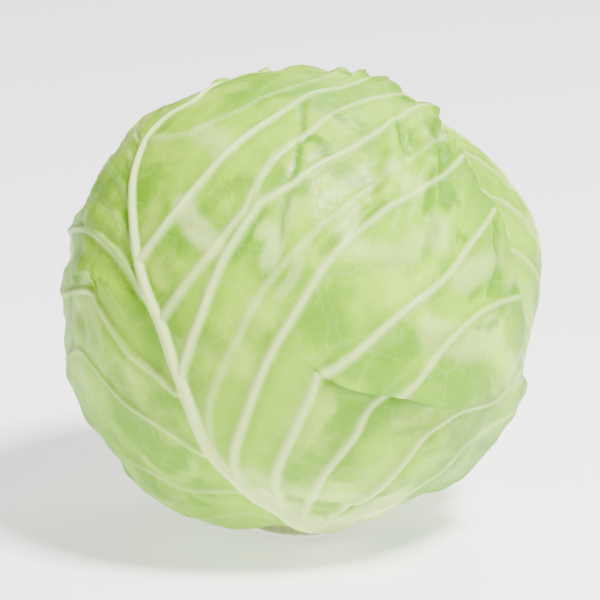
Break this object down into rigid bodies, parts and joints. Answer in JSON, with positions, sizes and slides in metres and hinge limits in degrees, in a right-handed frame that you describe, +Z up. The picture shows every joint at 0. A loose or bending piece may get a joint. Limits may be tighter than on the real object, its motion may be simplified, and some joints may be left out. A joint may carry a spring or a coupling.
{
  "type": "cabbage head",
  "caption": "A near-round head of white cabbage on its cut stump, with thin ribbed wrapper leaves folded over each other around a tight heart.",
  "frame": {"origin": "the middle of the stump's flat cut face, which is the face that the head stands on", "axes": "+Z is up, from the stump to the crown. The head's front, with the big front leaf, faces -Y, and +X is to the viewer's right."},
  "size_m": [0.1722, 0.1724, 0.1657],
  "materials": {
    "front_leaf": "fresh pale green leaf with a soft waxy sheen and whitish ribs",
    "right_leaf": "fresh pale green leaf with a soft waxy sheen and whitish ribs",
    "rear_left_leaf": "fresh pale green leaf with a soft waxy sheen and whitish ribs",
    "rear_leaf": "fresh pale green leaf with a soft waxy sheen and whitish ribs",
    "heart": "pale yellow-green tightly packed inner leaves",
    "stump": "dull cream cut stem"
  },
  "bodies": {
    "root": {"front_leaf": "front_leaf", "right_leaf": "right_leaf", "rear_left_leaf": "rear_left_leaf", "rear_leaf": "rear_leaf", "heart": "heart", "stump": "stump"}
  },
  "joints": []
}
